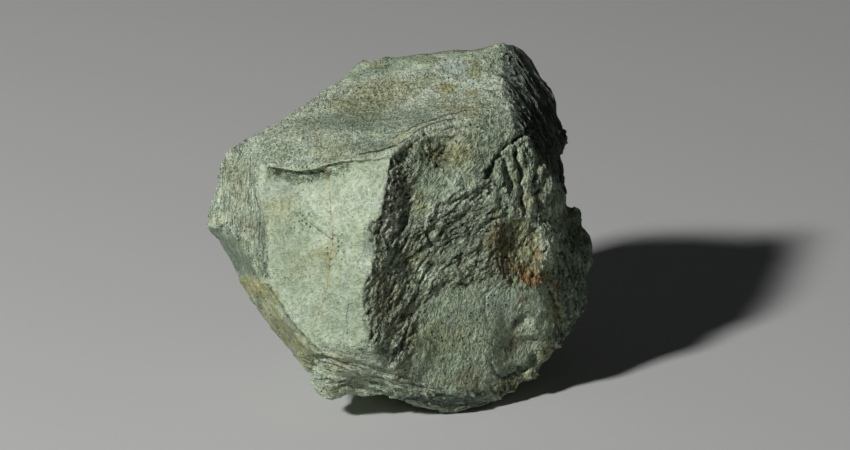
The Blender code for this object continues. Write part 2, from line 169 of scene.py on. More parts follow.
# Lines on the front, in mm across and up. A line is walked so that its low side is on its right.
CLEFTS = [   # depth, width and course of each narrow crack
    (0.45, 0.3, [(26.6, 16.5), (28, 18), (29, 20), (29.4, 22), (31, 23.4)]),
    (0.5, 0.3, [(31, 23.4), (32, 25), (33.2, 26.2), (35.5, 27.8), (38, 29), (39.5, 30)]),
    (0.65, 0.33, [(31.4, 23.2), (32.4, 20.6), (33.4, 17.6), (34.4, 14.8), (35.2, 12)]),
    (0.65, 0.33, [(35.8, 25.5), (36.2, 21), (37, 19.6), (37.8, 17), (37.2, 14.8), (38, 12)]),
    (0.6, 0.33, [(38, 12), (37.6, 9.6), (38.6, 7), (38.9, 5)]),
    (0.6, 0.33, [(39, 24.5), (38.8, 21), (38.6, 18.5)]),
    (0.6, 0.33, [(41.4, 20), (41.4, 16), (41.2, 14)]),
    (0.65, 0.33, [(43.6, 13.6), (42.8, 11.8), (41.8, 11), (42.6, 9), (43.2, 7.6), (42.6, 5.8)]),
    (0.9, 0.35, [(41.8, 1.5), (41.4, -1), (40.8, -3.6)]),
    (0.8, 0.4, [(40, 30), (42, 26), (43.4, 22.6), (45.6, 20), (47.4, 17), (49.4, 15)]),
    (0.7, 0.35, [(39.4, -9), (40.6, -10), (42.6, -11.4), (44.4, -13.4), (45, -15)]),
    (1.2, 0.5, [(47.6, 1.4), (48.4, -2), (49.4, -6), (50.2, -10), (49.8, -14)]),
    (0.8, 0.45, [(46.6, -18), (48, -22), (49.4, -25), (50, -28), (49.8, -30.5), (48.4, -34)]),
    (0.5, 0.35, [(37, -45.4), (38, -43.6), (40, -42.4), (41.6, -40.6), (42, -39.6), (41.8, -38)]),
    (0.8, 0.35, [(30, -44.6), (32, -46), (34, -45), (37, -43.6)]),
    (0.5, 0.35, [(28.6, -39), (28.4, -41.4), (29.4, -44), (29.8, -46)]),
    (0.45, 0.3, [(9, 1.6), (10.2, 4), (13, 7.4), (16.4, 9)]),
    (0.4, 0.3, [(19.4, 10.2), (22, 11.8), (25.4, 12.2), (28.4, 13.8)]),
    (0.35, 0.35, [(26, -18.6), (26.7, -21.7), (26, -25.1), (27.9, -29.5)]),
    (0.3, 0.35, [(18.6, -18), (19.6, -22), (18.8, -27)]),
    (0.5, 0.4, [(25, 44), (28.2, 43.4), (31, 43.2)]),
    (0.4, 0.4, [(-29.8, -32.9), (-26, -34.4), (-22.9, -36), (-19.5, -38.4)]),
    (0.5, 0.5, [(-54, 6), (-51, -1), (-46.5, -8.5), (-42.7, -14.5)]),
    (0.22, 0.5, [(-45.5, 22), (-46.4, 16), (-45, 11), (-43, 6), (-42.4, 1), (-41.4, -4), (-41.4, -10)]),
    (0.5, 0.45, [(-41.5, -16.4), (-38.4, -20.8), (-33.9, -27.9), (-29.3, -33.5), (-24.2, -37.8)]),
]
LEDGES = [   # drop, reach and course of each step down
    (1.3, 1.9, [(-42.8, 19.8), (-38.8, 19.2), (-31, 18), (-26.4, 18.6), (-21.7, 20.2)]),
    (1.1, 1.0, [(-27.5, 18.2), (-21.7, 20.2), (-17, 21), (-9.3, 21.9), (-1.6, 23), (2, 24.6)]),
    (0.9, 1.6, [(-1.5, 23), (4.7, 27.9), (7.8, 30.1), (12.4, 31.6), (17.1, 32.6), (21.7, 31.9)]),
    (0.7, 1.8, [(40.6, -26.2), (38, -26.2), (36, -27.4), (34.6, -29.2), (34.4, -31)][::-1]),
    (0.7, 1.0, [(38.6, -32.6), (41, -32.8), (43.4, -32.2)]),
    (0.35, 1.0, [(30, -44.8), (31.4, -43), (33.4, -42), (36.4, -42), (38.4, -41.4), (40.4, -39.6)]),
    (0.6, 0.8, [(-26, -34.4), (-19.5, -38.4), (-15.2, -40), (-12, -40.6)]),
    (1.0, 0.9, [(-26, -40), (-21.7, -41.5), (-17.4, -42.8), (-14.6, -44), (-12, -45)]),
    (0.8, 0.8, [(-26.6, -46.2), (-23, -45.9), (-19.5, -47.1), (-16.4, -46.5), (-14.6, -45.3)]),
    (0.8, 0.8, [(-23, -49.6), (-20.5, -49.2), (-18.3, -48.4), (-15.5, -47.1), (-14.3, -45.6)]),
    (1.0, 0.8, [(-12, -46.8), (-6.5, -47.1), (-1.2, -49), (3.4, -50.2)]),
    (1.0, 0.8, [(-9.3, -49), (-3.1, -50.8), (3.4, -53), (8.4, -54.6), (14.6, -55.5)]),
    (1.0, 0.8, [(6.5, -53.3), (10.2, -51.8), (15.8, -49.9)]),
    (1.0, 0.8, [(18.9, -56.1), (27, -53.3), (31, -52.1)]),
    (1.4, 1.1, [(8.9, 2.8), (8.2, -1.2), (9.3, -3.4), (6.2, -5.8), (2.2, -9.3), (0.3, -10.5)][::-1]),
    (1.0, 1.1, [(10.2, -3.4), (12.4, -0.3), (15, 1.9), (18.6, 3.5)]),
    (1.0, 1.2, [(18.2, -12), (18.6, -7.1), (18.2, -4)]),
    (0.9, 1.2, [(22.6, -13.3), (23.9, -8.9), (24.4, -3.4)]),
    (0.9, 1.0, [(-0.4, -16.4), (2.2, -12.7), (4, -10.5)]),
    (0.9, 1.2, [(9.6, -17.4), (14.3, -16.4), (17.7, -14.3)]),
    (1.1, 1.1, [(2.2, -34.1), (4, -30.6), (5.8, -27.9)]),
    (0.7, 0.9, [(12.4, 4.3), (18.6, 6.6), (24.4, 8.1)]),
    (0.8, 0.9, [(14.2, 2.8), (19.5, 5), (25.1, 7.1)]),
    (1.0, 1.0, [(26, 2.8), (30.1, 4), (33.7, 5.3)]),
    (0.9, 1.0, [(-3.1, 13.3), (-3.5, 8.4), (-5, 3.5), (-5.9, -2.7)]),
    (0.6, 0.9, [(-5, -27), (-2.5, -21), (0.5, -17)]),
    (0.6, 0.9, [(-1, -30), (2, -24), (6.5, -18)]),
]
RIBS = [   # rise, width and course of each rounded finger of stone
    (0.8, 1.0, [(36.9, 26.4), (38.1, 21.7), (38.4, 18)]),
    (0.9, 1.1, [(39.4, 28.5), (40.6, 23.3), (40.3, 17), (39.4, 13.3)]),
    (0.8, 1.0, [(31, 22.3), (30.4, 18.6)]),
    (0.8, 1.1, [(33.2, 22.3), (34.4, 18.6), (35, 16.7)]),
    (0.6, 1.1, [(44.3, 20.8), (43.7, 17), (42.5, 13.6)]),
    (0.5, 1.3, [(46.8, 17.7), (46.2, 14), (45.3, 9.3)]),
    (0.9, 1.1, [(39.6, 12), (41, 9.4), (40.4, 6.2)]),
    (1.6, 2.0, [(44.6, 3), (46, -1.5), (46, -6), (45.4, -11)]),
    (1.2, 0.8, [(-5, 23.4), (0, 25.2), (4.4, 28.8), (7.4, 31.1), (12.2, 32.6), (17.1, 33.4)]),
    (0.5, 0.6, [(0, 28.4), (6, 31.8), (12, 34.2), (18.6, 36)]),
    (0.8, 0.7, [(10.5, 29), (14.8, 29.4), (19.8, 30.8)]),
    (0.9, 1.0, [(-24, -37.2), (-20, -38.9), (-15.8, -41)]),
    (0.5, 0.9, [(-22, -43.2), (-17, -44.6), (-13.5, -45.6)]),
]
DISHES = [   # depth of each dished or swollen place, its middle and its reach across and up
    (1.0, -29, 16.8, 12, 3.4),
    (1.0, 14.6, 23.3, 9, 5),
    (0.7, 34.5, -3, 4.5, 8),
    (-1.3, 39, -41, 4.5, 4.5),
]

# Places that the grain is laid in are the regions, and parts of them that are worked out below.
EDGE_BLUR = 1.2                          # mm either side of a region's outline
WIDE_BLUR = {"bay": 3.5, "breast": 3.5}
RAGGED = (1.5, 4)                        # how far outlines wander, and the size of the bends
FRONT_TURNED = (-0.15, 0.1)              # how far to the front a face looks, from none to all
FRONT_OUT = (-42, -32)                   # mm out, where the front's marks set in
TURNED_RIGHT = (0.35, 0.75)              # how far to the right a face looks, from none to all
WALL_TURNED = (0.5, 0.75)
SLOPE_ACROSS = (2, 16)                   # mm across, where the bay's floor turns into its slope
SLOPE_LEAN = 0.3                         # how far that line leans to the left as it goes up
TOP_RIGHT_ACROSS = (-5, 22)              # mm across, where the top scar grows rough
HOLLOW = (14.6, 23.3, 9, 5.5)            # mm: middle across and up, reach across and up
SPLINTER_REACH, SPLINTER_SPREAD = 3, 8   # mm either side of a line, to a third and to none

# The grain of the break: where it is, its rise, the level that it starts from, the ways that it
# runs along and, for flakes, across, its length and its width. All sizes are in mm.
FLAKED = [
    ("bay_wall", 0.8, -0.6, (0.25, 0.9, -0.3), (0.35, -0.25, -0.9), 10, 2.2),
    ("bay_floor", 0.8, -0.6, (0.5, 0.8, -0.3), (0.8, -0.5, -0.1), 10, 2.2),
    ("bay_slope", 0.8, -0.6, (0.75, 0.55, -0.1), (0.5, -0.8, 0.1), 10, 2.2),
    ("pit", 0.4, 0, (0.1, 0.95, 0), (0.9, -0.1, 0.2), 6, 1.4),
    ("rind", 0.9, -0.35, (0.08, 0.99, 0), (-1, 0, -0.3), 16, 1.5),
    ("foot", 0.8, 0, (0.93, -0.3, 0), (-0.35, -0.9, 0.1), 16, 1.9),
    ("band", 0.4, 0.7, (0.6, -0.8, 0), (0.8, 0.6, 0), 10, 1.5),
    ("right", 1.0, -0.4, (0.45, -0.87, 0.2), (0.25, 0.2, 0.95), 18, 2.1),
    ("back", 0.9, -0.7, (0.8, 0.3, 0.5), (0.1, 0.8, -0.5), 16, 6),
]
CREASED = [
    ("bay_wall", 0.4, 0, (0.25, 0.9, -0.3), 4.0, 1.0),
    ("bay_floor", 0.4, 0, (0.5, 0.8, -0.3), 4.0, 1.0),
    ("bay_slope", 0.4, 0, (0.75, 0.55, -0.1), 4.0, 1.0),
    ("shoulder", 0.25, 0, (0.6, 0.6, -0.4), 3, 1.4),
    ("hollow", 0.7, -0.3, (0.7, 0.5, -0.2), 2.2, 1.4),
    ("fingers", 0.3, 0, (0.15, 0.95, 0), 3, 1.2),
    ("breast", 0.2, 0, (0.1, 0.95, 0.1), 3, 1.3),
    ("back", 0.4, 0, (0.8, 0.3, 0.5), 6, 2.4),
]
CHIPPED = [
    ("bay_wall", 0.36, 0, (0.25, 0.9, -0.3), 5.5, 1.5),
    ("bay_floor", 0.36, 0, (0.5, 0.8, -0.3), 5.5, 1.5),
    ("bay_slope", 0.36, 0, (0.75, 0.55, -0.1), 5.5, 1.5),
    ("splintered", 0.6, 0, (0.75, 0.55, -0.1), 5, 1.6),
    ("shoulder", 0.25, 0, (0.6, 0.6, -0.4), 4, 2.2),
    ("fingers", 0.35, 0, (0.15, 0.95, 0), 3.5, 1.5),
    ("breast", 0.1, 0, (0.1, 0.95, 0.1), 3.5, 1.8),
    ("top", 0.13, 0, (0.95, 0.1, -0.3), 5, 2.2),
    ("top_right", 0.28, 0, (0.8, 0.5, -0.3), 2.2, 1.4),
    ("pale", 0.06, 0, (0.3, 0.9, 0.1), 4, 3),
    ("facet", 0.12, 0, (0.6, -0.8, 0), 4, 2.5),
    ("rind", 0.3, 0, (0.08, 0.99, 0), 14, 1.0),
    ("under_lip", 0.3, 0, (0.97, 0.15, 0), 7, 1.0),
    ("foot", 0.22, 0, (0.93, -0.3, 0), 12, 1.1),
    ("right", 0.5, 0, (0.45, -0.87, 0.2), 14, 1.8),
    ("back", 0.7, 0, (0.8, 0.3, 0.5), 9, 4.2),
]
FINELY_CHIPPED = [
    ("bay_wall", 0.3, 0, (0.25, 0.9, -0.3), 3.0, 0.9),
    ("bay_floor", 0.3, 0, (0.5, 0.8, -0.3), 3.0, 0.9),
    ("bay_slope", 0.3, 0, (0.75, 0.55, -0.1), 3.0, 0.9),
    ("splintered", 0.5, 0, (0.75, 0.55, -0.1), 2.4, 0.9),
    ("hollow", 0.4, 0, (0.7, 0.5, -0.2), 2.0, 1.3),
    ("fingers", 0.25, 0, (0.15, 0.95, 0), 1.8, 0.8),
    ("pit", 0.5, 0, (0.3, 0.9, 0), 2.2, 1.1),
    ("right", 0.2, 0, (0.45, -0.87, 0.2), 6, 1.0),
    ("back", 0.28, 0, (0.8, 0.3, 0.5), 3.0, 1.4),
]
FAINT = 0.01                             # a share of a place that is too small for a chip to show

SWELLS = [(0.2, 11), (0.05, 1.7)]        # rise and size of the soft lumps all over
WAVES = (1.0, 7)                         # how far the grain is bent, and the size of the bends
BROW_RISE, BROW_HALF, BROW_FOOT, BROW_SPREAD = 1.3, 3.5, 5, 14      # mm
BITE_DEPTH, BITE_SIZE, BITE_REACH, BITE_SPREAD = 0.9, 2.3, 1.3, 4   # chips out of the sharp edge
LINE_WANDER = (0.45, 2.0)                # how far lines wander, and the size of the bends
BROW_FADE, LEDGE_FADE, RIB_FADE, CLEFT_FADE = 4, 4, 2.5, 1.6   # mm, over which an end dies out

stone = bpy.data.objects.new("flint_skin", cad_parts["flint_nodule"].data.copy())
bpy.context.scene.collection.objects.link(stone)


def keep_modified(piece):
    """Makes a mesh of what the piece's modifiers give."""
    graph = bpy.context.evaluated_depsgraph_get()
    made = bpy.data.meshes.new_from_object(piece.evaluated_get(graph), depsgraph=graph)
    piece.modifiers.clear()
    piece.data = made


even = stone.modifiers.new("even", "REMESH")
even.mode = "VOXEL"
even.voxel_size = POINT_SPACING
soften = stone.modifiers.new("soften", "SMOOTH")
soften.factor = 0.5
soften.iterations = 5
keep_modified(stone)


def soft_step(value, low, high):
    """Rises smoothly from 0 at the low value to 1 at the high one."""
    share = np.clip((value - low) / (high - low), 0, 1)
    return share * share * (3 - 2 * share)


def vectors(values, name):
    """One vector of each mesh item, as an array."""
    found = np.empty(len(values) * 3, np.float32)
    values.foreach_get(name, found)
    return found.reshape(-1, 3).astype(np.float64)


class Skin:
    """The surface's points in the drawing frame, in mm, and where they are seen from the front."""

    def __init__(self, mesh):
        turn = np.array(lean_back.to_3x3())
        self.at = (vectors(mesh.vertices, "co") / MM - np.array(DRAWING_ORIGIN)) @ turn
        self.facing = vectors(mesh.vertex_normals, "vector") @ turn
        nearer = VIEW_DISTANCE / (VIEW_DISTANCE - self.at[:, 2:])
        self.seen = (self.at[:, :2] - VIEW_CENTRE) * nearer + VIEW_CENTRE
        self.front = soft_step(self.facing[:, 2], *FRONT_TURNED) * soft_step(self.at[:, 2], *FRONT_OUT)

    def inside(self, outline):
        """Distance in mm into an outline seen from the front, negative outside it."""
        corners = np.array(outline, float)
        gap = np.full(len(self.seen), np.inf)
        within = np.zeros(len(self.seen), bool)
        for start, end in zip(corners, np.roll(corners, -1, axis=0)):
            run = end - start
            off = self.seen - start
            share = np.clip(off @ run / (run @ run), 0, 1)
            gap = np.minimum(gap, np.hypot(off[:, 0] - share * run[0], off[:, 1] - share * run[1]))
            if run[1]:
                crosses = (start[1] > self.seen[:, 1]) != (end[1] > self.seen[:, 1])
                within ^= crosses & (off[:, 0] < off[:, 1] / run[1] * run[0])
        return np.where(within, gap, -gap)

    def share(self, region):
        """How much of each point is in a region, 0 to 1, with a ragged edge."""
        blur = WIDE_BLUR.get(region, EDGE_BLUR)
        wander, size = RAGGED
        gap = self.inside(REGIONS[region]) + wander * noise(self.at / size)
        return soft_step(gap, -blur, blur) * self.front

    def out_from(self, across, up, wide, tall):
        """How far out each point is seen in an oval place on the front, 1 at the place's edge."""
        return np.hypot((self.seen[:, 0] - across) / wide, (self.seen[:, 1] - up) / tall)

    def beside(self, line, reach):
        """Points near a line seen from the front, how far to its right, and how far from its ends."""
        points = np.array(line, float)
        near = np.flatnonzero(np.all((self.seen > points.min(axis=0) - reach)
                                     & (self.seen < points.max(axis=0) + reach), axis=1))
        seen = self.seen[near]
        gap = np.full(len(near), np.inf)
        walked = np.zeros(len(near))
        length = 0.0
        for start, end in zip(points, points[1:]):
            run = end - start
            stride = np.hypot(*run)
            off = seen - start
            share = np.clip(off @ run / stride ** 2, 0, 1)
            far = np.hypot(off[:, 0] - share * run[0], off[:, 1] - share * run[1])
            right = np.where(run[1] * off[:, 0] - run[0] * off[:, 1] >= 0, 1, -1)
            closer = far < np.abs(gap)
            gap = np.where(closer, far * right, gap)
            walked = np.where(closer, length + share * stride, walked)
            length += stride
        return near, gap, np.minimum(walked, length - walked)


rng = np.random.default_rng(7)
slopes = rng.normal(size=(256, 3))
slopes /= np.linalg.norm(slopes, axis=1, keepdims=True)
shuffle = rng.permutation(256)


def noise(points):
    """Gradient noise, about -1 to 1, in cells one unit wide."""
    cell = np.floor(points).astype(np.int64)
    part = points - cell
    fade = part ** 3 * (part * (part * 6 - 15) + 10)
    total = np.zeros(len(points))
    for corner in np.ndindex(2, 2, 2):
        x, y, z = ((cell + corner) & 255).T
        slope = slopes[shuffle[(shuffle[(shuffle[x] + y) & 255] + z) & 255]]
        weight = np.prod(np.where(corner, fade, 1 - fade), axis=1)
        total += weight * np.einsum("ij,ij->i", part - corner, slope)
    return total * 1.6


def rolling(points, size, octaves=3):
    """Soft lumps, about -1 to 1, of a size in mm."""
    return sum(noise(points / size * 2 ** k + 11.3 * k) / 2 ** k for k in range(octaves)) / 1.5


def drawn_out(points, along, length, width):
    """The points scaled so that noise on them is long one way and narrow the other ways."""
    along = np.array(along) / np.linalg.norm(along)
    run = points @ along
    return (points - np.outer(run, along)) / width + np.outer(run / length, along)


def flakes(points, along, across, length, width):
    """Thin flakes, 0 to 1, that rise gently across their grain and then break off steeply."""
    across = np.array(across) / np.linalg.norm(across)
    wander = 1.5 * noise(drawn_out(points, along, length, width * 2.2)) + 0.5 * noise(
        drawn_out(points, along, length / 3, width) + 9.1)
    rise = (points @ across) / width + wander
    rise -= np.floor(rise)
    lasting = soft_step(noise(drawn_out(points, along, length * 1.4, width * 2.5) + 3.3), -0.6, 0.3)
    return rise * soft_step(1 - rise, 0, 0.14) * lasting


def creases(points, along, length, width, octaves=2):
    """Rounded scales, 0 to 1, with sharp creases between them, drawn out along a direction."""
    spots = drawn_out(points, along, length, width)
    return sum(np.abs(noise(spots * 2 ** k + 7.9 * k)) ** 0.8 / 2 ** k for k in range(octaves)) / 1.1


hollows = rng.random((256, 3))
lifts = rng.uniform(-0.5, 0.5, 256)


def chips(points, along, length, width):
    """Flat broken facets, about -1 to 1, each tilted its own way, drawn out along a direction."""
    spots = drawn_out(points, along, length, width)
    cell = np.floor(spots).astype(np.int64)
    nearest = np.full(len(spots), np.inf)
    height = np.zeros(len(spots))
    for corner in np.ndindex(3, 3, 3):
        home = cell + corner - 1
        x, y, z = (home & 255).T
        pick = shuffle[(shuffle[(shuffle[x] + y) & 255] + z) & 255]
        off = spots - home - hollows[pick]
        gap = np.einsum("ij,ij->i", off, off)
        closer = gap < nearest
        nearest = np.where(closer, gap, nearest)
        height = np.where(closer, np.einsum("ij,ij->i", off, slopes[pick]) + lifts[pick], height)
    return height


def places(skin):
    """How much of each point is in every place that the grain is laid in, 0 to 1."""
    share = {name: skin.share(name) for name in REGIONS}
    rest = 1 - np.maximum.reduce(list(share.values()))
    share["right"] = np.maximum(soft_step(skin.facing[:, 0], *TURNED_RIGHT) * rest, share["cheek"])
    share["back"] = rest * (1 - share["right"])
    slope = soft_step(skin.seen[:, 0] + SLOPE_LEAN * skin.seen[:, 1], *SLOPE_ACROSS)
    wall = soft_step(skin.facing[:, 0], *WALL_TURNED) * (1 - slope)
    share["bay_wall"] = share["bay"] * wall
    share["bay_floor"] = share["bay"] * (1 - wall) * (1 - slope)
    share["bay_slope"] = share["bay"] * slope
    share["top_right"] = share["top"] * soft_step(skin.seen[:, 0], *TOP_RIGHT_ACROSS)
    share["hollow"] = share["shoulder"] * soft_step(skin.out_from(*HOLLOW), 1.2, 0.6)
    share["splintered"] = np.zeros(len(skin.at))
    for line in SPLINTERED:
        near, gap, _ = skin.beside(line, SPLINTER_SPREAD)
        share["splintered"][near] = np.maximum(
            share["splintered"][near], np.exp(-(gap / SPLINTER_REACH) ** 2) * skin.front[near])
    return share


def raise_grain(height, share, points, pattern, rows, least=0):
    """Adds a pattern of grain in the places where its rows lay it."""
    for place, rise, level, *grain in rows:
        there = np.flatnonzero(share[place] > least)
        height[there] += share[place][there] * (level + rise * pattern(points[there], *grain))


def relief(skin):
    """How far the weathered skin stands out from the plain solid, in mm."""
    share = places(skin)
    bend, bend_size = WAVES
    waved = skin.at + bend * np.stack([noise(skin.at / bend_size + k) for k in (0.3, 4.1, 8.6)], axis=1)
    height = sum(rise * rolling(waved, size) for rise, size in SWELLS)
    raise_grain(height, share, waved, flakes, FLAKED)
    raise_grain(height, share, waved, creases, CREASED)
    raise_grain(height, share, waved, chips, CHIPPED, FAINT)
    raise_grain(height, share, skin.at, chips, FINELY_CHIPPED, FAINT)

    near, gap, inset = skin.beside(BROW, BROW_SPREAD)
    tail = np.exp(-np.maximum(np.abs(gap) - BROW_HALF, 0) / BROW_FOOT)
    height[near] += BROW_RISE * np.clip(gap / BROW_HALF, -1, 1) * tail * soft_step(
        inset, 0, BROW_FADE) * skin.front[near]
    for depth, *oval in DISHES:
        height -= depth * soft_step(skin.out_from(*oval), 1, 0) * skin.front

    wander, wander_size = LINE_WANDER
    skin.seen = skin.seen + wander * np.stack(
        [noise(skin.at / wander_size + k) for k in (1.2, 6.4)], axis=1)
    near, gap, _ = skin.beside(ARRIS, BITE_SPREAD)
    bites = soft_step(noise(skin.at[near] / BITE_SIZE), 0.05, 0.5) * np.exp(-(gap / BITE_REACH) ** 2)
    height[near] -= BITE_DEPTH * bites * skin.front[near]
    for drop, reach, line in LEDGES:
        near, gap, inset = skin.beside(line, 4 * reach)
        step = soft_step(gap, -0.35, 0.25) * np.exp(-np.maximum(gap, 0) / reach)
        height[near] -= drop * step * soft_step(inset, 0, LEDGE_FADE) * skin.front[near]
    for rise, width, line in RIBS:
        near, gap, inset = skin.beside(line, 4 * width)
        ridge = np.maximum(1 - np.abs(gap) / (1.6 * width), 0)
        height[near] += rise * ridge * soft_step(inset, 0, RIB_FADE) * skin.front[near]
    for depth, width, line in CLEFTS:
        near, gap, inset = skin.beside(line, 4 * width)
        crack = np.exp(-np.abs(gap) / width) + 0.25 * np.exp(-(gap / width / 2.6) ** 2)
        height[near] -= depth * crack * soft_step(inset, 0, CLEFT_FADE) * skin.front[near]
    return height


def evened(mesh, values, rounds):
    """Each point's value averaged with its neighbours', a number of times."""
    ends = np.empty(len(mesh.edges) * 2, np.int32)
    mesh.edges.foreach_get("vertices", ends)
    one, other = ends.reshape(-1, 2).T
    count = np.bincount(ends, minlength=len(values))
    for _ in range(rounds):
        total = np.bincount(one, values[other], len(values)) + np.bincount(
            other, values[one], len(values))
        values = 0.3 * values + 0.7 * total / count
    return values


def store(name, values):
    """Keeps a number or a vector for each point of the surface."""
    kind, key = ("FLOAT", "value") if values.ndim == 1 else ("FLOAT_VECTOR", "vector")
    stone.data.attributes.new(name, kind, "POINT").data.foreach_set(
        key, values.astype(np.float32).ravel())


def group(name, values, steps):
    """Puts the points in a group, each at the step nearest its value."""
    made = stone.vertex_groups.new(name=name)
    for level in np.arange(1, steps + 1) / steps:
        made.add(np.flatnonzero(np.abs(values - level) <= 0.5 / steps).tolist(), level, "REPLACE")


# The brow is worn to a soft slope before the relief goes on.
WORN_REACH, WORN_SPREAD, WORN_FADE = 3.5, 9, 4   # mm
RUB, RUBS = 0.8, 150                             # strength and number of the strokes

skin = Skin(stone.data)
near, gap, inset = skin.beside(BROW, WORN_SPREAD)
wear = np.zeros(len(skin.at))
wear[near] = np.exp(-(gap / WORN_REACH) ** 2) * soft_step(inset, 0, WORN_FADE) * skin.front[near]
group("worn", wear, 5)
rub = stone.modifiers.new("rub", "SMOOTH")
rub.vertex_group = "worn"
rub.factor = RUB
rub.iterations = RUBS
keep_modified(stone)

skin = Skin(stone.data)
resting = soft_step(vectors(stone.data.vertices, "co")[:, 2], *REST_BAND)
raised = skin.at + skin.facing * (relief(skin) * resting)[:, None]
world = (raised @ np.array(lean_back.to_3x3()).T + np.array(DRAWING_ORIGIN)) * MM
world[:, 2] = np.maximum(world[:, 2], 0)
stone.data.vertices.foreach_set("co", world.astype(np.float32).ravel())
stone.data.update()

# How far each point stands out from its surroundings, which the painted shade in hollows and the wear and
# painted highlight on proud edges follow.
for name, rounds in (("fine_dent", 10), ("wide_dent", 60)):
    around = np.stack([evened(stone.data, raised[:, axis], rounds) for axis in range(3)], axis=1)
    store(name, np.einsum("ij,ij->i", raised - around, skin.facing))

# The back is thinned more than the front, where the finest relief is.
triangles = sum(len(face.vertices) - 2 for face in stone.data.polygons)
if triangles > SKIN_TRIANGLES:
    group("spare", 1 - 0.75 * skin.front, 4)
    thin = stone.modifiers.new("thin", "DECIMATE")
    thin.ratio = SKIN_TRIANGLES / triangles
    thin.vertex_group = "spare"
    thin.vertex_group_factor = 1.0
    keep_modified(stone)
stone.data.shade_smooth()

# What the finish reads at each point: its place, its place seen from the front, its regions.
skin = Skin(stone.data)
store("place", skin.at)
store("seen", np.hstack([skin.seen, np.zeros((len(skin.seen), 1))]))
store("front", skin.front)
store("right_side", soft_step(skin.facing[:, 0], *TURNED_RIGHT))
for name, outline in REGIONS.items():
    store(name, skin.inside(outline))

chalk = bpy.data.materials.new("chalky_flint")
chalk.use_nodes = True


class Shade:
    """A shader socket. Arithmetic on it adds the nodes that work it out."""

    tree = chalk.node_tree

    def __init__(self, socket):
        self.socket = socket

    @classmethod
    def node(cls, kind, settings, values, output=0):
        """Adds a node, sets it, gives its sockets values or links, and returns one output."""
        made = cls.tree.nodes.new("ShaderNode" + kind)
        for name, setting in settings.items():
            setattr(made, name, setting)
        for name, value in values.items():
            if isinstance(value, cls):
                cls.tree.links.new(value.socket, made.inputs[name])
            else:
                made.inputs[name].default_value = value
        return cls(made.outputs[output])

    def maths(self, operation, other, swapped=False):
        """Works on numbers, vectors or colours, each with its own kind of node."""
        pair = (other, self) if swapped else (self, other)
        if self.socket.type == "RGBA":
            return self.node("Mix", {"data_type": "RGBA", "blend_type": operation},
                             {0: 1.0, 6: pair[0], 7: pair[1]}, 2)
        if self.socket.type == "VECTOR":
            return self.node("VectorMath", {"operation": operation}, dict(enumerate(pair)))
        return self.node("Math", {"operation": operation}, dict(enumerate(pair)))

    def __add__(self, other):
        return self.maths("ADD", other)

    def __radd__(self, other):
        return self.maths("ADD", other, True)

    def __sub__(self, other):
        return self.maths("SUBTRACT", other)

    def __rsub__(self, other):
        return self.maths("SUBTRACT", other, True)

    def __mul__(self, other):
        return self.maths("MULTIPLY", other)

    def __rmul__(self, other):
        return self.maths("MULTIPLY", other, True)

    def least(self, other):
        return self.maths("MINIMUM", other)

    def most(self, other):
        return self.maths("MAXIMUM", other)

    def scaled(self, size):
        return self.node("VectorMath", {"operation": "SCALE"}, {0: self, "Scale": size})

    def dot(self, other):
        return self.node("VectorMath", {"operation": "DOT_PRODUCT"}, {0: self, 1: other}, "Value")

    def length(self):
        return self.node("VectorMath", {"operation": "LENGTH"}, {0: self}, "Value")

    def step(self, low, high, full=1.0):
        """Rises smoothly from 0 at the low value to full at the high one."""
        return self.node("MapRange", {"interpolation_type": "SMOOTHSTEP"},
                         {"Value": self, "From Min": low, "From Max": high, "To Max": full})

    def tinted(self, colour, share):
        return blend(share, self, colour)


def blend(share, below, above):
    """Two colours, with a share of the second laid over the first."""
    return Shade.node("Mix", {"data_type": "RGBA"}, {0: share, 6: below, 7: above}, 2)


def stored(name, output="Fac"):
    """What the surface's points keep under a name."""
    return Shade.node("Attribute", {"attribute_name": name}, {}, output)


def cloud(points, size, detail=3, output="Fac"):
    """Noise about a half, in lumps of a size in mm."""
    return Shade.node("TexNoise", {}, {"Vector": points * (3 * (1 / size,)), "Scale": 1.0,
                                       "Detail": detail, "Roughness": 0.6}, output)


def dots(points, spacing, size, some):
    """Round spots of a size in mm, in some share of cells a spacing apart."""
    cells = {"Vector": points * (3 * (1 / spacing,)), "Scale": 1.0}
    gap = Shade.node("TexVoronoi", {}, cells, "Distance")
    pick = Shade.node("TexVoronoi", {}, cells, "Color").dot((0.6, 0.4, 0.0))
    return (size / spacing * pick - gap).step(0, 0.25 * size / spacing) * pick.step(
        0.99 - some, 1.01 - some)


def line_gap(points, line):
    """Distance in mm to a line on the front."""
    gap = None
    for (x, y), (far_x, far_y) in zip(line, line[1:]):
        run = Vector((far_x - x, far_y - y, 0))
        off = points - (x, y, 0)
        along = Shade.node("Clamp", {}, {"Value": off.dot(tuple(run / run.length_squared))})
        nearest = Shade.node("VectorMath", {"operation": "SCALE"}, {0: tuple(run), "Scale": along})
        reach = (off - nearest).length()
        gap = gap.least(reach) if gap else reach
    return gap


# Colours of the weathered skin, some of them also used for painted shade and painted highlight.
CHALK = (0.70, 0.76, 0.62, 1)
WHITE = (0.54, 0.62, 0.465, 1)
PALE = (0.435, 0.525, 0.36, 1)
GREEN_GREY = (0.315, 0.395, 0.27, 1)
DULL = (0.20, 0.255, 0.175, 1)
SLATE = (0.155, 0.20, 0.145, 1)
COAL = (0.10, 0.13, 0.10, 1)
SOOT = (0.055, 0.073, 0.057, 1)
BLUE_WHITE = (0.44, 0.53, 0.47, 1)
CREAM = (0.56, 0.59, 0.39, 1)
UMBER = (0.27, 0.31, 0.20, 1)
SAGE = (0.37, 0.455, 0.31, 1)
OCHRE = (0.38, 0.36, 0.165, 1)
OLIVE = (0.30, 0.32, 0.15, 1)
BROWN = (0.23, 0.165, 0.08, 1)
RUST = (0.43, 0.24, 0.085, 1)
DARK = (0.035, 0.04, 0.025, 1)
